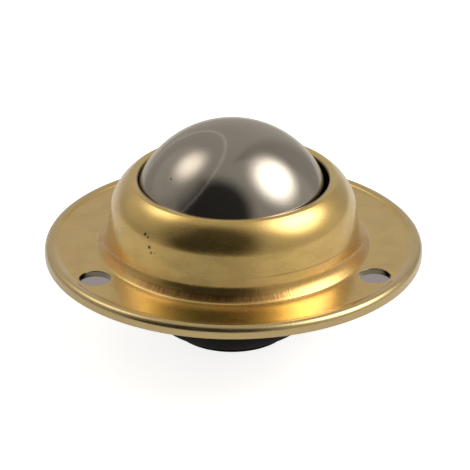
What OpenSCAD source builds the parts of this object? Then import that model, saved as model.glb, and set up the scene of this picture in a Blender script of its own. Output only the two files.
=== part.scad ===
// Ball transfer unit with a pressed flange: a load ball runs on a bed of small support balls in a hardened cup.
// Z is the unit's axis. The origin is the middle of the plane that the flange's turned-down rim sits on.

/* [Load ball] */
// Diameter of the load ball
ball_d = 25.4; // [22:0.1:30]
// Height of the load ball's centre above the seating plane
ball_lift = 4.1; // [3.8:0.1:5]
// Height that the load ball stands out of the collar
ball_rise = 6.65; // [5.6:0.05:8]

/* [Support balls] */
// Diameter of a support ball
support_d = 2.38; // [2:0.01:2.6]
// Clearance from each support ball to the load ball, the race and the next support ball
rolling_gap = 0.03; // [0.02:0.01:0.06]

/* [Bearing cup] */
// Thickness of the cup's wall
cup_t = 1; // [0.8:0.1:1.2]
// Thickness of the cup's flattened floor
floor_t = 0.9; // [0.6:0.05:1.2]
// Clearance between the load ball and the flattened floor
floor_gap = 1.15; // [0.5:0.05:1.3]
// Diameter of the flat foot under the cup
foot_d = 14.8; // [12:0.1:18]
// Rounding of the foot's edge
foot_round = 0.3; // [0.1:0.05:0.5]
// Fillet between the cup's wall and its lip
lip_fillet = 0.5; // [0.2:0.05:0.8]
// Distance of the cup's lip from the corner under the step, where the side play is taken up
lip_gap = 0.1; // [0.05:0.05:0.3]
// Side play taken up by the cup, and by all that it carries, towards -X
cup_play = 0.2; // [0:0.05:0.3]

/* [Housing] */
// Thickness of the housing's sheet
sheet_t = 0.8; // [0.6:0.05:1]
// Gap between the load ball's equator and the inside of the collar's shoulder, less than a support ball
collar_gap = 1.7; // [1.5:0.05:1.9]
// Least gap between the load ball and the edge of the collar's mouth
mouth_gap = 0.1; // [0.05:0.05:0.3]
// Turn of the shoulder, from the upright
shoulder_turn = 57; // [50:1:65]
// Turn of the crown, from the shoulder to the sheet's edge in the mouth
crown_turn = 62; // [50:1:75]
// Outside radius of the crown
crown_r = 0.9; // [0.85:0.05:1.3]
// Lean of the collar's wall from the upright, inwards from its foot to the shoulder
wall_draft = 10; // [8:1:12]
// Radius of the flare at the foot of the wall
flare_r = 1.6; // [1.2:0.1:2]
// Slope at which the flare runs out to the step
flare_slope = 24; // [18:1:28]
// Straight run between the flare and the step
flare_run = 0.14; // [0.1:0.01:0.5]
// Rise of the step above the flange
step_rise = 0.3; // [0.2:0.05:0.4]

/* [Flange] */
// Height of the rim's crest above the seating plane
rim_h = 1.5; // [1.4:0.05:1.7]
// Drop from the rim's crest to the flange's flat
rim_drop = 0.35; // [0.3:0.05:0.6]
// Width of the rim, from the flange's flat to the outside
rim_w = 1.9; // [1.6:0.1:3]
// Diameter of the screw holes
hole_d = 3.8; // [3:0.1:5]
// Number of screw holes
hole_count = 3; // [3:1:6]
// Land between the step's foot and a screw hole
hole_land = 0.4; // [0.1:0.05:1]
// Land between a screw hole and the rim
rim_land = 0.1; // [0:0.05:2]

/* [Hidden] */
ball_r = ball_d / 2;
support_r = support_d / 2;
hole_r = hole_d / 2;
half_t = sheet_t / 2;
overcut = 1;
// Turn between neighbouring points on a bend
arc_step = 6;

// Housing, from the axis outwards. The sheet is drawn along its middle, with sharp bends of radius half_t.
crest_z = ball_lift + ball_r - ball_rise;
crown_bend = crown_r - half_t;
mouth_z = crest_z - crown_r + crown_bend * sin(shoulder_turn + crown_turn);
mouth_r = sqrt(ball_r ^ 2 - (mouth_z - ball_lift) ^ 2) + mouth_gap + cup_play;
crown_x = mouth_r + half_t - crown_bend * cos(shoulder_turn + crown_turn);
wall_r = ball_r + collar_gap + half_t;
shoulder_bend = (wall_r - crown_x - crown_bend * cos(shoulder_turn)) / (1 - cos(shoulder_turn));
shoulder_z = crest_z - crown_r - (shoulder_bend - crown_bend) * sin(shoulder_turn);
// wall_top is where the sheet's middle leaves the shoulder. The corner under the step is at step_r and step_z.
wall_top = [wall_r - shoulder_bend, shoulder_z] + shoulder_bend * [cos(wall_draft), sin(wall_draft)];
flat_z = rim_h - rim_drop;
step_turn = acos(cos(flare_slope) - step_rise / sheet_t);
step_z = flat_z - sheet_t * cos(step_turn);
flare_bend = flare_r + half_t;
flare_rise = flare_run * sin(flare_slope) + flare_bend * (cos(flare_slope) - sin(wall_draft));
wall_run = (wall_top.y - step_z - half_t * cos(flare_slope) - flare_rise) / cos(wall_draft);
step_r = wall_top.x + wall_run * sin(wall_draft) + flare_bend * (cos(wall_draft) - sin(flare_slope))
    + flare_run * cos(flare_slope) - half_t * sin(flare_slope);
step_foot_r = step_r + sheet_t * sin(step_turn);
hole_circle_r = step_foot_r + hole_land + hole_r;
flat_r = hole_circle_r + hole_r + rim_land;
flange_r = flat_r + rim_w;
slope_w = rim_w - sheet_t;
slope_turn = 2 * atan(rim_drop / slope_w);
slope_bend = slope_w / sin(slope_turn) / 2;

// Cup and support balls, about the load ball's centre
race_r = ball_r + support_d + 2 * rolling_gap;
cup_r = race_r + cup_t;
floor_z = ball_lift - ball_r - floor_gap;
foot_z = floor_z - floor_t;
lip_z = step_z + lip_gap * tan(flare_slope);
lip_r = step_r - cup_play - lip_gap;

// Rows of support balls: the lowest clears the flat floor, the highest clears the flare at the collar's foot
bed_r = ball_r + rolling_gap + support_r;
pitch = support_d + rolling_gap;
row_pitch = 2 * asin(pitch / 2 / bed_r);
row_low = acos((ball_lift - floor_z - support_r - rolling_gap) / bed_r);
flare_middle = wall_top + wall_run * [sin(wall_draft), -cos(wall_draft)]
    + flare_bend * [cos(wall_draft), sin(wall_draft)] - [0, ball_lift];
flare_reach = norm(flare_middle);
flare_clear = flare_r + sheet_t + support_r + rolling_gap + cup_play;
row_high = atan2(flare_middle.x, -flare_middle.y)
    - acos((bed_r ^ 2 + flare_reach ^ 2 - flare_clear ^ 2) / (2 * bed_r * flare_reach));
row_count = 1 + floor((row_high - row_low) / row_pitch);

$fn = 96;

// Points on an arc round c
function arc(c, r, from, to) = let (parts = ceil(abs(to - from) / arc_step))
    [for (part = [0 : parts]) let (a = from + (to - from) * part / parts) c + r * [cos(a), sin(a)]];

// Section of a bent sheet. A step along it is [run] or [radius of the sheet's middle, turn], left turns positive,
// and a place on it is [x, y, heading].
function bend_middle(step, at) = [at.x, at.y] + sign(step[1]) * step[0] * [-sin(at.z), cos(at.z)];

function bend_point(step, at, aside, turned) =
    bend_middle(step, at) + (sign(step[1]) * step[0] - aside) * [sin(at.z + turned), -cos(at.z + turned)];

function after(step, at) = len(step) == 1
    ? [at.x + step[0] * cos(at.z), at.y + step[0] * sin(at.z), at.z]
    : concat(bend_point(step, at, 0, step[1]), at.z + step[1]);

// Points along one side of the sheet, at a distance aside to the left of its middle
function side(steps, at, aside, i = 0) = i == len(steps)
    ? [[at.x, at.y] + aside * [-sin(at.z), cos(at.z)]]
    : concat(
        len(steps[i]) == 1 ? side([], at, aside) : let (parts = ceil(abs(steps[i][1]) / arc_step))
            [for (part = [0 : parts - 1]) bend_point(steps[i], at, aside, steps[i][1] * part / parts)],
        side(steps, after(steps[i], at), aside, i + 1)
    );

function sheet_end(steps, at, i = 0) = i == len(steps) ? at : sheet_end(steps, after(steps[i], at), i + 1);

// The sheet itself, with a rounded edge at its far end
module sheet(steps, at) {
    end = sheet_end(steps, at);
    edge = arc([end.x, end.y], half_t, end.z - 90 + arc_step, end.z + 90 - arc_step);
    left = side(steps, at, half_t);
    polygon(concat(side(steps, at, -half_t), edge, [for (i = [len(left) - 1 : -1 : 0]) left[i]]));
}

module housing_section() {
    sheet([
        [rim_h - sheet_t],
        [half_t, 90],
        [slope_bend, slope_turn],
        [slope_bend, -slope_turn],
        [flat_r - step_foot_r],
        [half_t, -step_turn],
        [half_t, step_turn - flare_slope],
        [flare_run],
        [flare_bend, wall_draft + flare_slope - 90],
        [wall_run],
        [shoulder_bend, shoulder_turn - wall_draft],
        [crown_bend, crown_turn],
    ], [flange_r - half_t, 0, 90]);
}

module flange_housing() {
    color([0.78, 0.63, 0.33]) difference() {
        rotate_extrude() housing_section();
        for (i = [0 : hole_count - 1]) rotate(90 + i * 360 / hole_count) translate([hole_circle_r, 0, -overcut])
            cylinder(d = hole_d, h = rim_h + 2 * overcut, $fn = 48);
    }
}

// The wall follows the race, the foot is coined flat under it, and the lip turns out through a fillet
module cup_section() {
    foot_edge = [foot_d / 2 - foot_round, foot_z + foot_round];
    foot_top = max(asin((foot_edge.y - ball_lift) / cup_r), -acos(foot_d / 2 / cup_r));
    lip_under = lip_z - cup_t;
    fillet_z = lip_under - lip_fillet;
    fillet_turn = asin((fillet_z - ball_lift) / (cup_r + lip_fillet));
    fillet_x = (cup_r + lip_fillet) * cos(fillet_turn);
    difference() {
        polygon(concat(
            [[0, foot_z]],
            arc(foot_edge, foot_round, -90, 0),
            arc([0, ball_lift], cup_r, foot_top, fillet_turn),
            arc([fillet_x, fillet_z], lip_fillet, 180 + fillet_turn, 90),
            [[lip_r, lip_under], [lip_r, lip_z], [0, lip_z]]
        ));
        intersection() {
            translate([0, ball_lift]) circle(r = race_r);
            translate([-overcut, floor_z]) square([race_r + overcut, lip_z - floor_z + overcut]);
        }
    }
}

module bearing_cup() {
    color([0.13, 0.12, 0.11]) translate([-cup_play, 0, 0]) rotate_extrude() cup_section();
}

module load_ball() {
    color([0.55, 0.53, 0.5]) translate([-cup_play, 0, ball_lift]) sphere(d = ball_d);
}

// One ring of support balls, as many as the ring has room for
module support_balls_row(row) {
    angle = row_low + (row - 1) * row_pitch;
    ring_r = bed_r * sin(angle);
    count = floor(180 / asin(pitch / 2 / ring_r));
    color([0.72, 0.72, 0.74]) translate([-cup_play, 0, ball_lift - bed_r * cos(angle)])
        for (i = [0 : count - 1]) rotate(i * 360 / count) translate([ring_r, 0, 0]) sphere(d = support_d, $fn = 32);
}

flange_housing();
bearing_cup();
load_ball();
for (row = [1 : row_count])
    support_balls_row(row);
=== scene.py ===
"""Ball transfer unit: its pressed housing, its drawn cup and the finishes of all pieces, in a light tent."""

from math import acos, asin, atan2, ceil, cos, degrees, pi, radians, sin, tan

import bmesh
import bpy
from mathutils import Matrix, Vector


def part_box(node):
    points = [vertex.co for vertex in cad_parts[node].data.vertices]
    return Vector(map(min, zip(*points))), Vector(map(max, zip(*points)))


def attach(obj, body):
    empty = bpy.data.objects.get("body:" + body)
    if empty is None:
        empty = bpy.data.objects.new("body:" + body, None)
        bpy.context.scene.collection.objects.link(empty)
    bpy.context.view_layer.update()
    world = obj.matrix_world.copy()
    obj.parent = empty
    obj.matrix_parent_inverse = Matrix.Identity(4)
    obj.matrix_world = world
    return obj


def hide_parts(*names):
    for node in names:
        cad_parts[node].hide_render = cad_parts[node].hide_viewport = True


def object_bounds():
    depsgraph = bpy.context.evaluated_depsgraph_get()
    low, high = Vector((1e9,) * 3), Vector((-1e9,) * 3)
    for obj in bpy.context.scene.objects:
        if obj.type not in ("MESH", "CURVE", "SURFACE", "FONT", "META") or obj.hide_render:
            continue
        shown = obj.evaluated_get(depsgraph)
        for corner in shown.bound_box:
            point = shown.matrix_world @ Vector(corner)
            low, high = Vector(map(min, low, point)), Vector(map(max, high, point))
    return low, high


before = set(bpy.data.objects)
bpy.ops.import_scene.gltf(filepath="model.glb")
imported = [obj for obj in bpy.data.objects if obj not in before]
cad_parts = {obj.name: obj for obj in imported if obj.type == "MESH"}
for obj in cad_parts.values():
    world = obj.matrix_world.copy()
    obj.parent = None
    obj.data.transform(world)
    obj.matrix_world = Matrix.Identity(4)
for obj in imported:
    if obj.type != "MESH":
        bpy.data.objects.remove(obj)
cad_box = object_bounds()

MM = 0.001


def rgb(hex_colour):
    """A colour given in sRGB hex, as the linear colour that Blender's sockets take."""
    channels = [int(hex_colour[i:i + 2], 16) / 255 for i in (1, 3, 5)]
    return [c / 12.92 if c <= 0.04045 else ((c + 0.055) / 1.055) ** 2.4 for c in channels] + [1]


def add(tree, kind, inputs, **settings):
    """Adds a node with its settings. An input takes a value, or another node's output to link."""
    made = tree.nodes.new("ShaderNode" + kind)
    for name, value in settings.items():
        setattr(made, name, value)
    for socket, value in inputs.items():
        if isinstance(value, bpy.types.NodeSocket):
            tree.links.new(value, made.inputs[socket])
        else:
            made.inputs[socket].default_value = value
    return made


def off_middle(tree, value, middle):
    """How far a value lies from the middle of a band, above or below, as an output."""
    past = add(tree, "Math", {0: value, 1: -middle}, operation="ADD")
    return add(tree, "Math", {0: past.outputs[0]}, operation="ABSOLUTE").outputs[0]


def new_material(name):
    material = bpy.data.materials.new(name)
    material.use_nodes = True
    return material, material.node_tree, material.node_tree.nodes["Principled BSDF"]


def extent(node):
    """The lowest and highest corner of a CAD node, as vectors."""
    low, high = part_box(node)
    return Vector(low), Vector(high)


ball_low, ball_high = extent("load_ball")
ball_centre = (ball_low + ball_high) / 2


# Sizes of the pressed housing that its finish needs too

SHEET_T = 0.8 * MM
RIM_H, RIM_DROP = 1.5 * MM, 0.35 * MM
FLAT_Z = RIM_H - RIM_DROP
HOLES = {"radius": 1.9 * MM, "circle": 19.504 * MM, "azimuths": (90, 210, 330), "steps": 48}
CUT_EDGE = "cut_edge"


# Finishes

# Middles of the two deepest places of the bloom, and how far each reaches, in mm
BLOOMS = ((-14.4, -6.6, 2.4, 6), (14.8, -6.4, 2.2, 5))
# Middle and size of each nick, in mm: a row down the collar's front left, and one on the flat
NICKS = ((-10.75, -10.35, 7.3, 0.42), (-10.45, -10.75, 7.1, 0.3), (-10.29, -11.21, 6.0, 0.4),
         (-10.05, -11.55, 5.4, 0.3), (-9.6, -11.9, 5.5, 0.22), (4.5, -19.2, 1.15, 0.2))
# Where on the way round the middles of the brown line of painted shade and the rubbed line lie, as vectors
# from the axis
CREASE_SHADE_TOWARDS, RUBBED_TOWARDS = Vector((-0.21, -0.98, 0)), Vector((0.57, -0.82, 0))
# From the flat of the flange to just above it, where the marks of the flare begin
ABOVE_FLAT = {"From Min": FLAT_Z + 0.02 * MM, "From Max": FLAT_Z + 0.25 * MM}


def flare_stains(tree, spot, height, off_axis, heading, streaks):
    """How strong the orange bloom and the line of painted shade in the crease are in the flare, as two
    outputs.
    """
    # both fade out where the flange is flat
    inner = add(tree, "MapRange", {"Value": off_axis, "From Min": 17.5 * MM, "From Max": 18.5 * MM,
                                   "To Min": 1, "To Max": 0})
    # bloom: in the flare and low on the wall, where the bath drained last, and deepest at two places
    deepest = 0.25
    for x, y, z, reach in BLOOMS:
        away = add(tree, "VectorMath", {0: spot, 1: Vector((x, y, z)) * MM}, operation="DISTANCE")
        bloom = add(tree, "MapRange", {"Value": away.outputs["Value"], "From Min": 0.5 * MM,
                                       "From Max": reach * MM, "To Min": 0.75, "To Max": 0},
                    interpolation_type="SMOOTHSTEP")
        deepest = add(tree, "Math", {0: deepest, 1: bloom.outputs[0]}, operation="MAXIMUM").outputs[0]
    low = add(tree, "MapRange", {"Value": height, "From Min": 4.6 * MM, "From Max": 2.2 * MM})
    low = add(tree, "Math", {0: low.outputs[0], 1: inner.outputs[0]}, operation="MULTIPLY")
    off_flat = add(tree, "MapRange", {"Value": height, **ABOVE_FLAT})
    low = add(tree, "Math", {0: low.outputs[0], 1: off_flat.outputs[0]}, operation="MULTIPLY")
    orange = add(tree, "Math", {0: deepest, 1: low.outputs[0]}, operation="MULTIPLY")
    # brown line: painted shade in the crease, half a millimetre above the flat, over the front only, and
    # broken up by the die marks
    towards = add(tree, "VectorMath", {0: heading, 1: CREASE_SHADE_TOWARDS}, operation="DOT_PRODUCT")
    front = add(tree, "MapRange", {"Value": towards.outputs["Value"], "From Min": 0.68, "From Max": 0.92})
    line = add(tree, "MapRange", {"Value": off_middle(tree, height, 1.65 * MM), "From Min": 0.2 * MM,
                                  "From Max": 0.45 * MM, "To Min": 1, "To Max": 0})
    broken = add(tree, "MapRange", {"Value": streaks, "From Min": 0.35, "From Max": 0.62,
                                    "To Min": 0.95, "To Max": 0.5})
    crease_shade = add(tree, "Math", {0: line.outputs[0], 1: broken.outputs[0]}, operation="MULTIPLY")
    for limit in (front, inner):
        crease_shade = add(tree, "Math", {0: crease_shade.outputs[0], 1: limit.outputs[0]}, operation="MULTIPLY")
    return orange.outputs[0], crease_shade.outputs[0]


def wear_marks(tree, spot, height, heading):
    """How strong the rubbed line and the nicks are, as two outputs."""
    # rubbed line: 0.15 mm to each side of its middle, and only part of the way round the wall
    line = add(tree, "MapRange", {"Value": off_middle(tree, height, 3.9 * MM), "From Min": 0,
                                  "From Max": 0.15 * MM, "To Min": 0.4, "To Max": 0})
    towards = add(tree, "VectorMath", {0: heading, 1: RUBBED_TOWARDS}, operation="DOT_PRODUCT")
    part = add(tree, "MapRange", {"Value": towards.outputs["Value"], "From Min": 0.86, "From Max": 0.96})
    rubbed = add(tree, "Math", {0: line.outputs[0], 1: part.outputs[0]}, operation="MULTIPLY")
    # nicks: the noise moves each one's edge between 0.1 and 1.2 times its size
    ragged = add(tree, "TexNoise", {"Vector": spot, "Scale": 1 / (0.4 * MM), "Detail": 2, "Roughness": 0.7})
    nicked = 0
    for x, y, z, size in NICKS:
        away = add(tree, "VectorMath", {0: spot, 1: Vector((x, y, z)) * MM}, operation="DISTANCE")
        edge = add(tree, "Math", {0: ragged.outputs["Fac"], 1: 1.1 * size * MM, 2: 0.1 * size * MM},
                   operation="MULTIPLY_ADD")
        inside = add(tree, "Math", {0: edge.outputs[0], 1: away.outputs["Value"]}, operation="SUBTRACT")
        nick = add(tree, "MapRange", {"Value": inside.outputs[0], "From Min": 0, "From Max": 0.12 * MM})
        nicked = add(tree, "Math", {0: nicked, 1: nick.outputs[0]}, operation="MAXIMUM").outputs[0]
    return rubbed.outputs[0], nicked


def yellow_passivated_zinc():
    """Zinc plated and yellow passivated pressed steel: satin metal under a thin film that drifts from straw
    to rose and green, with tarnish, a few nicks, the fine marks of the drawing die, and painted shade in the
    crease of the flare and at the mouth."""
    material, tree, shader = new_material("yellow_passivated_zinc")
    spot = add(tree, "TexCoord", {}).outputs["Object"]
    height = add(tree, "SeparateXYZ", {0: spot}).outputs["Z"]
    level = add(tree, "VectorMath", {0: spot, 1: (1, 1, 0)}, operation="MULTIPLY").outputs[0]
    heading = add(tree, "VectorMath", {0: level}, operation="NORMALIZE").outputs[0]
    off_axis = add(tree, "VectorMath", {0: level}, operation="LENGTH").outputs["Value"]
    # film: soft clouds about 9 mm across, and blotches of about 3 mm drawn out round the axis
    clouds = add(tree, "TexNoise", {"Vector": spot, "Scale": 1 / (9 * MM), "Detail": 2, "Roughness": 0.5})
    drawn_out = add(tree, "VectorMath", {0: spot, 1: (1, 1, 2.5)}, operation="MULTIPLY")
    blotches = add(tree, "TexNoise", {"Vector": drawn_out.outputs[0], "Scale": 1 / (3 * MM), "Detail": 2,
                                      "Roughness": 0.5})
    rose = add(tree, "MapRange", {"Value": clouds.outputs["Fac"], "From Min": 0.5, "From Max": 0.66,
                                  "To Min": 0, "To Max": 0.22})
    green = add(tree, "MapRange", {"Value": clouds.outputs["Fac"], "From Min": 0.46, "From Max": 0.32,
                                   "To Min": 0, "To Max": 0.35})
    tarnish = add(tree, "MapRange", {"Value": blotches.outputs["Fac"], "From Min": 0.42, "From Max": 0.75,
                                     "To Min": 0, "To Max": 0.28})
    # the film is thinnest, and greyest, over the rim
    thin = add(tree, "MapRange", {"Value": off_axis, "From Min": 21.7 * MM, "From Max": 22.8 * MM,
                                  "To Min": 0, "To Max": 0.7})
    # die marks: 60 streaks to a radian, so 0.3 mm wide, and 2 mm long up the wall
    lengthwise = add(tree, "VectorMath", {0: spot, 1: (0, 0, 8)}, operation="MULTIPLY")
    along = add(tree, "VectorMath", {0: heading, 1: lengthwise.outputs[0]}, operation="ADD")
    streaks = add(tree, "TexNoise", {"Vector": along.outputs[0], "Scale": 60, "Detail": 3,
                                     "Roughness": 0.65})
    orange, crease_shade = flare_stains(tree, spot, height, off_axis, heading, streaks.outputs["Fac"])
    rubbed, nicked = wear_marks(tree, spot, height, heading)
    # mouth: painted shade along its inner edge, where the gap beside the ball lies dark
    oily = add(tree, "MapRange", {"Value": off_axis, "From Min": 11.75 * MM, "From Max": 11.95 * MM,
                                  "To Min": 0.85, "To Max": 0})
    # walls of the holes: duller, where the punch broke through
    cut_edge = add(tree, "Attribute", {}, attribute_name=CUT_EDGE)
    # clean straw film, and over it each tint and painted shade in turn
    colour = rgb("#DCBE70")
    for strength, tint in ((rose.outputs[0], "#DCB07E"), (green.outputs[0], "#CCC47C"),
                           (tarnish.outputs[0], "#AE8E54"), (orange, "#D8973A"), (crease_shade, "#80501E"),
                           (thin.outputs[0], "#C3B288"), (rubbed, "#5C4820"), (nicked, "#4A3A1C"),
                           (oily.outputs[0], "#3A2F1C"), (cut_edge.outputs["Fac"], "#77725E")):
        colour = add(tree, "Mix", {0: strength, 6: colour, 7: rgb(tint)}, data_type="RGBA").outputs[2]
    tree.links.new(colour, shader.inputs["Base Color"])
    # the die marks are deep in the flare, and hardly show above it and on the flat
    above = add(tree, "MapRange", {"Value": height, "From Min": 2 * MM, "From Max": 3.2 * MM,
                                   "To Min": 1, "To Max": 0.02})
    over_flat = add(tree, "MapRange", {"Value": height, **ABOVE_FLAT, "To Min": 0.02, "To Max": 1})
    depth = add(tree, "Math", {0: above.outputs[0], 1: over_flat.outputs[0]}, operation="MULTIPLY")
    # skin of the sheet: orange peel of about 0.5 mm, under the die marks
    peel = add(tree, "TexNoise", {"Vector": spot, "Scale": 1 / (0.5 * MM), "Detail": 2, "Roughness": 0.5})
    peel_bump = add(tree, "Bump", {"Height": peel.outputs["Fac"], "Strength": 0.2, "Distance": 0.02 * MM})
    bump = add(tree, "Bump", {"Height": streaks.outputs["Fac"], "Strength": depth.outputs[0],
                              "Distance": 0.02 * MM, "Normal": peel_bump.outputs[0]})
    tree.links.new(bump.outputs[0], shader.inputs["Normal"])
    rough = add(tree, "MapRange", {"Value": blotches.outputs["Fac"], "From Min": 0.3, "From Max": 0.7,
                                   "To Min": 0.23, "To Max": 0.29})
    tree.links.new(rough.outputs[0], shader.inputs["Roughness"])
    shader.inputs["Metallic"].default_value = 1
    # the clear film over the zinc
    shader.inputs["Coat Weight"].default_value = 1
    shader.inputs["Coat Roughness"].default_value = 0.13
    return material


def polished_bearing_steel():
    """Hardened and polished chrome steel, dulled by rolling: a grey mirror under a fine haze."""
    material, tree, shader = new_material("polished_bearing_steel")
    spot = add(tree, "TexCoord", {}).outputs["Object"]
    haze = add(tree, "TexNoise", {"Vector": spot, "Scale": 1 / (5 * MM), "Detail": 5, "Roughness": 0.6})
    colour = add(tree, "Mix", {0: haze.outputs["Fac"], 6: rgb("#B3AFA8"), 7: rgb("#9E9A92")},
                 data_type="RGBA")
    # one pit of 0.3 mm in the load ball
    away = add(tree, "VectorMath", {0: spot, 1: Vector((-7.61, -5.98, 12.49)) * MM}, operation="DISTANCE")
    pit = add(tree, "MapRange", {"Value": away.outputs["Value"], "From Min": 0.08 * MM,
                                 "From Max": 0.2 * MM, "To Min": 0.7, "To Max": 0})
    colour = add(tree, "Mix", {0: pit.outputs[0], 6: colour.outputs[2], 7: rgb("#2A2622")},
                 data_type="RGBA")
    tree.links.new(colour.outputs[2], shader.inputs["Base Color"])
    rough = add(tree, "MapRange", {"Value": haze.outputs["Fac"], "From Min": 0.3, "From Max": 0.7,
                                   "To Min": 0.08, "To Max": 0.14})
    tree.links.new(rough.outputs[0], shader.inputs["Roughness"])
    # marks of rolling, drawn at 0.35 mm because the real ones are too fine to show
    rolled = add(tree, "TexNoise", {"Vector": spot, "Scale": 1 / (0.35 * MM), "Detail": 3,
                                    "Roughness": 0.7})
    bump = add(tree, "Bump", {"Height": rolled.outputs["Fac"], "Strength": 0.35, "Distance": 0.015 * MM})
    tree.links.new(bump.outputs[0], shader.inputs["Normal"])
    shader.inputs["Metallic"].default_value = 1
    return material


def black_oxide_steel():
    """Drawn and hardened steel with a black oxide finish: near black, with a dry, slightly oily sheen."""
    material, tree, shader = new_material("black_oxide_steel")
    spot = add(tree, "TexCoord", {}).outputs["Object"]
    scale = add(tree, "TexNoise", {"Vector": spot, "Scale": 1 / (3 * MM), "Detail": 5, "Roughness": 0.6})
    colour = add(tree, "Mix", {0: scale.outputs["Fac"], 6: rgb("#080706"), 7: rgb("#151310")},
                 data_type="RGBA")
    tree.links.new(colour.outputs[2], shader.inputs["Base Color"])
    rough = add(tree, "MapRange", {"Value": scale.outputs["Fac"], "From Min": 0.3, "From Max": 0.7,
                                   "To Min": 0.5, "To Max": 0.65})
    tree.links.new(rough.outputs[0], shader.inputs["Roughness"])
    # grain of the oxide, drawn at 0.3 mm because the real one is too fine to show
    grain = add(tree, "TexNoise", {"Vector": spot, "Scale": 1 / (0.3 * MM), "Detail": 2, "Roughness": 0.5})
    bump = add(tree, "Bump", {"Height": grain.outputs["Fac"], "Strength": 0.2, "Distance": 0.02 * MM})
    tree.links.new(bump.outputs[0], shader.inputs["Normal"])
    shader.inputs["Specular IOR Level"].default_value = 0.13
    return material


def finish(node, material):
    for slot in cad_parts[node].material_slots:
        slot.material = material


# Wires, and pieces spun from them

TOUCH = 0.001 * MM
ARC_STEP = 5  # degrees of a rounded corner to each segment


def polar(start, heading, length):
    """The point at a length from the start, at so many degrees above +X in the XZ plane."""
    return start + length * Vector((cos(radians(heading)), 0, sin(radians(heading))))


def arc_corner(middle, radius, start, end):
    """The sharp corner that rounds to the arc between two headings seen from its middle."""
    return polar(middle, (start + end) / 2, radius / cos(radians((end - start) / 2)))


def rounded_corner(mesh, corner, radius, turn):
    """Rounds one corner of the wire to a radius, where the wire turns by so many degrees."""
    bmesh.ops.bevel(mesh, geom=[corner], affect="VERTICES", offset=radius * tan(radians(abs(turn)) / 2),
                    segments=max(2, ceil(abs(turn) / ARC_STEP)), profile=0.5, material=-1)


def spun(corners, steps):
    """A wire through the corners, each with its radius and turn, spun once round the Z axis."""
    mesh = bmesh.new()
    wire = [mesh.verts.new(corner) for corner, radius, turn in corners]
    for a, b in zip(wire, wire[1:]):
        mesh.edges.new((a, b))
    for vert, (corner, radius, turn) in zip(wire, corners):
        if radius:
            rounded_corner(mesh, vert, radius, turn)
    bmesh.ops.spin(mesh, geom=mesh.verts[:] + mesh.edges[:], cent=(0, 0, 0), axis=(0, 0, 1),
                   angle=2 * pi, steps=steps, use_merge=True)
    bmesh.ops.remove_doubles(mesh, verts=mesh.verts, dist=TOUCH)
    bmesh.ops.recalc_face_normals(mesh, faces=mesh.faces)
    return mesh


def new_piece(name, mesh, material, node):
    """Turns the finished bmesh into a smooth piece that stands for a CAD node of the housing."""
    data = bpy.data.meshes.new(name)
    mesh.to_mesh(data)
    mesh.free()
    data.shade_smooth()
    data.set_sharp_from_angle(angle=radians(40))
    data.materials.append(material)
    piece = bpy.data.objects.new(name, data)
    bpy.context.collection.objects.link(piece)
    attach(piece, "housing")
    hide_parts(node)
    return data


# Pressed housing

HOUSING_STEPS = 240
WINDOW = 9  # degrees to each side of a hole that are filled in anew
SHARP = 60  # degrees from which an edge counts as cut
NEAR_LEVEL, LEVEL = 0.999, 0.9999  # least Z of the normal of a face that can be cut, and of one shaded flat


def housing_corners():
    """The sheet's outside, from the rim's lower edge inwards: each sharp corner, its radius and its turn."""
    flange_r = cad_box[1][0]
    rim_w = 1.9 * MM
    slope_w = rim_w - SHEET_T
    slope_turn = 2 * degrees(atan2(RIM_DROP, slope_w))
    slope_bend = slope_w / sin(radians(slope_turn)) / 2
    slope_reach = slope_bend * tan(radians(slope_turn / 2))
    # the flare runs down from the wall and meets the flat in a tight bend
    foot, foot_bend = Vector((16.95 * MM, 0, FLAT_Z)), 0.4 * MM
    draft, flare_slope, flare_r = 10, 45, 2.1 * MM
    # crown and shoulder, which meet on the line through both their middles
    crown, crown_r, crown_turn = Vector((12.347, 0, 9.15)) * MM, 0.9 * MM, 62
    shoulder_r, shoulder_turn = 5.188 * MM, 57
    shoulder = polar(crown, shoulder_turn, crown_r - shoulder_r)
    crown_reach = crown_r * tan(radians(crown_turn / 2))
    crown_corner = polar(polar(crown, shoulder_turn, crown_r), 90 + shoulder_turn, crown_reach)
    shoulder_start = polar(shoulder, draft, shoulder_r)
    shoulder_reach = shoulder_r * tan(radians((shoulder_turn - draft) / 2))
    shoulder_corner = polar(shoulder_start, 90 + draft, shoulder_reach)
    # flare: where the wall's line meets the slope's line through the foot
    gap = shoulder_start - foot
    down_wall = (gap.z * cos(radians(flare_slope)) + gap.x * sin(radians(flare_slope))) \
        / cos(radians(draft + flare_slope))
    flare_corner = polar(shoulder_start, draft - 90, down_wall)
    # the wire goes on past the crown, so that the mouth's edge can be rounded
    mouth_end = polar(crown_corner, 90 + shoulder_turn + crown_turn, crown_reach + SHEET_T / 2)
    return [
        (Vector((flange_r, 0, 0)), 0, 0),
        (Vector((flange_r, 0, RIM_H)), SHEET_T, 90),
        (Vector((flange_r - SHEET_T - slope_reach, 0, RIM_H)), slope_bend, slope_turn),
        (Vector((flange_r - rim_w + slope_reach, 0, FLAT_Z)), slope_bend, slope_turn),
        (foot, foot_bend, flare_slope),
        (flare_corner, flare_r, 90 - draft - flare_slope),
        (shoulder_corner, shoulder_r, shoulder_turn - draft),
        (crown_corner, crown_r, crown_turn),
        (mouth_end, 0, 0),
    ]


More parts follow.
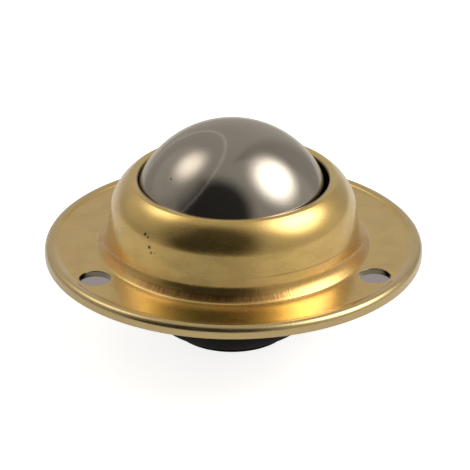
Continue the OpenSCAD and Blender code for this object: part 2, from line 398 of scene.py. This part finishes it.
def screw_hole(mesh, azimuth):
    """Takes a window out of the flat part of the flange and fills it in again up to a round hole."""
    towards = Vector((cos(radians(azimuth)), sin(radians(azimuth)), 0))
    flat = [face for face in mesh.faces
            if abs(face.calc_center_median().z - FLAT_Z) < TOUCH and face.normal.z > NEAR_LEVEL]
    window = [face for face in flat
              if face.calc_center_median().xy.normalized().dot(towards.xy) > cos(radians(WINDOW))]
    edge_count = {}
    for face in window:
        for edge in face.edges:
            edge_count[edge] = edge_count.get(edge, 0) + 1
    outline = [edge for edge, count in edge_count.items() if count == 1]
    bmesh.ops.delete(mesh, geom=window, context="FACES")
    circle = bmesh.ops.create_circle(mesh, segments=HOLES["steps"], radius=HOLES["radius"])["verts"]
    bmesh.ops.translate(mesh, verts=circle, vec=towards * HOLES["circle"] + Vector((0, 0, FLAT_Z)))
    ring = {edge for vert in circle for edge in vert.link_edges}
    bmesh.ops.triangle_fill(mesh, use_beauty=True, edges=outline + list(ring), normal=(0, 0, 1))


def pressed_housing(material):
    """The wire is rounded and spun, the holes are punched, and the sheet is then given its thickness."""
    mesh = spun(housing_corners(), HOUSING_STEPS)
    for azimuth in HOLES["azimuths"]:
        screw_hole(mesh, azimuth)
    # the outside has to face outwards before the sheet gets its thickness, which grows inwards
    bmesh.ops.recalc_face_normals(mesh, faces=mesh.faces)
    highest = max(mesh.faces, key=lambda face: face.calc_center_median().z)
    if highest.normal.z < 0:
        bmesh.ops.reverse_faces(mesh, faces=mesh.faces)
    bmesh.ops.solidify(mesh, geom=mesh.faces[:], thickness=SHEET_T)
    # cut edges: the mouth's is rounded, those of the holes and the rim are only broken
    for low, high, break_edge in ((8 * MM, 11 * MM, 0.38 * MM), (-1 * MM, 2 * MM, 0.1 * MM)):
        cut = [edge for edge in mesh.edges
               if low < edge.verts[0].co.z < high and edge.calc_face_angle(0) > radians(SHARP)]
        bmesh.ops.bevel(mesh, geom=cut, affect="EDGES", offset=break_edge, segments=5, profile=0.5,
                        material=-1)
    data = new_piece("pressed_housing", mesh, material, "flange_housing")
    for face in data.polygons:
        face.use_smooth = abs(face.normal.z) < LEVEL
    # the finish is duller where this is 1, on the walls of the holes
    cut_edge = data.attributes.new(CUT_EDGE, "FLOAT", "POINT")
    middles = [HOLES["circle"] * Vector((cos(radians(a)), sin(radians(a)))) for a in HOLES["azimuths"]]
    for vert in data.vertices:
        gap = min((vert.co.xy - middle).length for middle in middles) - HOLES["radius"]
        cut_edge.data[vert.index].value = 1 if gap < 0.05 * MM else 0


# Drawn cup

CUP_STEPS = 144


def drawn_cup(material):
    """The cup's section as a closed wire from the axis and back to it, spun about the cup's own axis."""
    low, high = extent("bearing_cup")
    middle = Vector((0, 0, ball_centre.z))
    foot_r, lip_r, cup_t, floor_t = 7.4 * MM, (high.x - low.x) / 2, 1 * MM, 0.9 * MM
    # the race leaves room for a support ball of 2.38 mm with 0.03 mm of play on both sides
    race_r, fillet_r = 15.14 * MM, 0.5 * MM
    foot_bend, foot_edge, lip_edge, race_edge = 0.3 * MM, 0.15 * MM, 0.15 * MM, 0.1 * MM
    cup_r = race_r + cup_t
    floor_z = low.z + floor_t
    lip_under = high.z - cup_t
    # outside: the ball-shaped wall turns out into the lip through a fillet
    wall_end = degrees(asin((lip_under - fillet_r - middle.z) / (cup_r + fillet_r)))
    wall_start = -degrees(acos(foot_r / cup_r))
    fillet_reach = fillet_r * tan(radians((90 + wall_end) / 2))
    fillet = polar(polar(middle, wall_end, cup_r), 90 + wall_end, fillet_reach)
    # inside: the race, down to the flattened floor
    race_start = degrees(asin((high.z - middle.z) / race_r))
    race_end = degrees(asin((floor_z - middle.z) / race_r))
    corners = [
        (Vector((0, 0, low.z)), 0, 0),
        (Vector((foot_r, 0, low.z)), foot_bend, 90),
        (polar(middle, wall_start, cup_r), foot_edge, -wall_start),
        (arc_corner(middle, cup_r, wall_start, wall_end), cup_r, wall_end - wall_start),
        (fillet, fillet_r, 90 + wall_end),
        (Vector((lip_r, 0, lip_under)), lip_edge, 90),
        (Vector((lip_r, 0, high.z)), lip_edge, 90),
        (polar(middle, race_start, race_r), race_edge, 90 + race_start),
        (arc_corner(middle, race_r, race_end, race_start), race_r, race_start - race_end),
        (polar(middle, race_end, race_r), 0, 0),
        (Vector((0, 0, floor_z)), 0, 0),
    ]
    mesh = spun(corners, CUP_STEPS)
    bmesh.ops.translate(mesh, verts=mesh.verts, vec=((low.x + high.x) / 2, 0, 0))
    new_piece("drawn_cup", mesh, material, "bearing_cup")


pressed_housing(yellow_passivated_zinc())
drawn_cup(black_oxide_steel())
steel = polished_bearing_steel()
finish("load_ball", steel)
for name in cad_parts:
    if name.startswith("support_balls"):
        finish(name, steel)


# Floor, light tent and lamps

FLOOR_HALF = 3
TENT_R = 0.8
FLOOR_Z = cad_box[0][2]


def stage_object(name, mesh, material):
    """Turns the finished bmesh into a piece of the stage."""
    data = bpy.data.meshes.new(name)
    mesh.to_mesh(data)
    mesh.free()
    data.materials.append(material)
    obj = bpy.data.objects.new(name, data)
    bpy.context.collection.objects.link(obj)
    return obj


def direction(azimuth, elevation):
    """A unit vector, by degrees of azimuth from -Y towards +X, and of elevation."""
    a, e = radians(azimuth), radians(elevation)
    return Vector((sin(a) * cos(e), -cos(a) * cos(e), sin(e)))


def floor_paper():
    """White paper that glows towards the eye and faintly in reflections, with a painted shadow behind the
    foot.
    """
    material, tree, shader = new_material("floor_paper")
    shader.inputs["Base Color"].default_value = rgb("#D2D0CC")
    shader.inputs["Roughness"].default_value = 0.9
    spot = add(tree, "TexCoord", {}).outputs["Object"]
    # the painted shadow is a disc of 22.7 mm with a soft edge, which fades away from the object towards the
    # back
    middle = Vector((0.4 * MM, 21.5 * MM, FLOOR_Z))
    away = add(tree, "VectorMath", {0: spot, 1: middle}, operation="DISTANCE")
    outside = add(tree, "MapRange", {"Value": away.outputs["Value"], "From Min": 22.7 * MM,
                                     "From Max": 24.2 * MM})
    nearest = Vector((0.4 * MM, 6 * MM, FLOOR_Z))
    away = add(tree, "VectorMath", {0: spot, 1: nearest}, operation="DISTANCE")
    behind = add(tree, "MapRange", {"Value": away.outputs["Value"], "From Min": 22 * MM,
                                    "From Max": 32 * MM}, interpolation_type="SMOOTHSTEP")
    clear = add(tree, "Math", {0: outside.outputs[0], 1: behind.outputs[0]}, operation="MAXIMUM")
    # the glow: full towards the eye, a fifth of it in reflections, and none as light on the object
    path = add(tree, "LightPath", {})
    mirrored = add(tree, "Math", {0: path.outputs["Is Glossy Ray"], 1: path.outputs["Is Transmission Ray"]},
                   operation="MAXIMUM")
    faint = add(tree, "Math", {0: mirrored.outputs[0], 1: 0.2}, operation="MULTIPLY")
    seen = add(tree, "Math", {0: path.outputs["Is Camera Ray"], 1: faint.outputs[0]}, operation="MAXIMUM")
    strength = add(tree, "Math", {0: seen.outputs[0], 1: 0.86}, operation="MULTIPLY")
    glow = add(tree, "Emission", {"Color": rgb("#FFFFFF"), "Strength": strength.outputs[0]})
    bright = add(tree, "AddShader", {0: shader.outputs[0], 1: glow.outputs[0]})
    # painted shadow: a flat grey glow behind the foot, in place of a cast shadow
    shade = add(tree, "Emission", {"Color": rgb("#938A88"), "Strength": 1})
    shown = add(tree, "MixShader", {"Fac": clear.outputs[0], 1: shade.outputs[0], 2: bright.outputs[0]})
    tree.links.new(shown.outputs[0], tree.nodes["Material Output"].inputs["Surface"])
    return material


def build_floor():
    mesh = bmesh.new()
    bmesh.ops.create_grid(mesh, x_segments=1, y_segments=1, size=FLOOR_HALF)
    bmesh.ops.translate(mesh, verts=mesh.verts, vec=(0, 0, FLOOR_Z))
    stage_object("floor", mesh, floor_paper())


def tent_fabric():
    """Pale fabric that glows evenly, but for a dark opening in front and a round diffuser across its left."""
    material, tree, shader = new_material("tent_fabric")
    tree.nodes.remove(shader)
    spot = add(tree, "TexCoord", {})
    unit = add(tree, "VectorMath", {0: spot.outputs["Object"]}, operation="NORMALIZE").outputs[0]
    side = add(tree, "VectorMath", {0: unit, 1: direction(130, 15)}, operation="DOT_PRODUCT")
    fabric = add(tree, "MapRange", {"Value": side.outputs["Value"], "From Min": -1, "From Max": 1,
                                    "To Min": 0.3, "To Max": 0.6})
    front = add(tree, "VectorMath", {0: unit, 1: direction(-23, 26)}, operation="DOT_PRODUCT")
    opening = add(tree, "MapRange", {"Value": front.outputs["Value"], "From Min": 0.6, "From Max": 0.88,
                                     "To Min": 1, "To Max": 0.06}, interpolation_type="SMOOTHERSTEP")
    # diffuser: about 45.5 degrees from its middle to its bright wire rim, and brighter towards its middle
    round_left = add(tree, "VectorMath", {0: unit, 1: direction(-113, 34)}, operation="DOT_PRODUCT")
    inside = add(tree, "MapRange", {"Value": round_left.outputs["Value"], "From Min": cos(radians(46.1)),
                                    "From Max": cos(radians(44.9))})
    rim = add(tree, "MapRange", {"Value": off_middle(tree, inside.outputs[0], 0.5), "From Min": 0,
                                 "From Max": 0.5, "To Min": 0.9, "To Max": 0})
    diffuser = add(tree, "MapRange", {"Value": round_left.outputs["Value"], "From Min": cos(radians(46)),
                                      "From Max": cos(radians(20)), "To Min": 0.1, "To Max": 1.35})
    uncovered = add(tree, "Math", {0: opening.outputs[0], 1: diffuser.outputs[0]}, operation="MAXIMUM")
    # a fold in the fabric, upright at the back right
    level = add(tree, "VectorMath", {0: unit, 1: (1, 1, 0)}, operation="MULTIPLY")
    level = add(tree, "VectorMath", {0: level.outputs[0]}, operation="NORMALIZE")
    towards = add(tree, "VectorMath", {0: level.outputs[0], 1: direction(134, 0)}, operation="DOT_PRODUCT")
    fold = add(tree, "MapRange", {"Value": towards.outputs["Value"], "From Min": cos(radians(24)),
                                  "From Max": cos(radians(4)), "To Min": 1, "To Max": 0.72},
               interpolation_type="SMOOTHSTEP")
    shaded = add(tree, "Math", {0: uncovered.outputs[0], 1: fold.outputs[0]}, operation="MULTIPLY")
    glow = add(tree, "Math", {0: fabric.outputs[0], 1: shaded.outputs[0], 2: rim.outputs[0]},
               operation="MULTIPLY_ADD")
    light = add(tree, "Emission", {"Color": rgb("#FFF6EA"), "Strength": glow.outputs[0]})
    tree.links.new(light.outputs[0], tree.nodes["Material Output"].inputs["Surface"])
    return material


def build_tent():
    mesh = bmesh.new()
    bmesh.ops.create_uvsphere(mesh, u_segments=64, v_segments=32, radius=TENT_R)
    tent = stage_object("light_tent", mesh, tent_fabric())
    tent.visible_camera = False
    tent.visible_shadow = False


def build_lamp(name, towards, distance, size, radiance, colour):
    """A round soft lamp that faces the ball and fades from its middle to its edge. Its power gives the
    radiance that a mirror would show at its middle."""
    data = bpy.data.lights.new(name, "AREA")
    data.shape = "DISK"
    data.size = size
    data.color = rgb(colour)[:3]
    data.energy = radiance * (pi * size / 2) ** 2
    data.use_nodes = True
    tree = data.node_tree
    across = add(tree, "NewGeometry", {}).outputs["Parametric"]
    from_middle = add(tree, "VectorMath", {0: across, 1: (0.5, 0.5, 0)}, operation="DISTANCE")
    fade = add(tree, "MapRange", {"Value": from_middle.outputs["Value"], "From Min": 0, "From Max": 0.5,
                                  "To Min": 1, "To Max": 0}, interpolation_type="SMOOTHERSTEP")
    softer = add(tree, "Math", {0: fade.outputs[0], 1: 2}, operation="POWER")
    tree.links.new(softer.outputs[0], tree.nodes["Emission"].inputs["Strength"])
    lamp = bpy.data.objects.new(name, data)
    bpy.context.collection.objects.link(lamp)
    lamp.location = ball_centre + towards * distance
    lamp.rotation_euler = towards.to_track_quat("Z", "Y").to_euler()
    lamp.visible_camera = False


def build_world():
    world = bpy.data.worlds.new("white_room")
    bpy.context.scene.world = world
    world.use_nodes = True
    background = world.node_tree.nodes["Background"]
    background.inputs["Color"].default_value = rgb("#FFFFFF")
    background.inputs["Strength"].default_value = 1


def build_camera():
    """A long lens, 310 mm away at 26 degrees above the horizon."""
    data = bpy.data.cameras.new("camera")
    data.sensor_width = 36
    data.lens = 192
    data.clip_start = 0.01
    camera = bpy.data.objects.new("camera", data)
    bpy.context.collection.objects.link(camera)
    camera.location = Vector((0, 0, ball_centre.z)) + direction(-1.1, 26) * 310 * MM
    target = Vector((0.17, -0.84, 2.37)) * MM
    camera.rotation_euler = (camera.location - target).to_track_quat("Z", "Y").to_euler()
    bpy.context.scene.camera = camera


build_floor()
build_tent()
build_lamp("key_lamp", direction(84, 47), distance=0.45, size=0.74, radiance=4.8, colour="#FFF8EE")
build_lamp("side_lamp", direction(-110, 50), distance=0.45, size=0.5, radiance=1.8, colour="#FFF4E6")
build_world()
build_camera()

bpy.context.scene.view_settings.view_transform = "Standard"
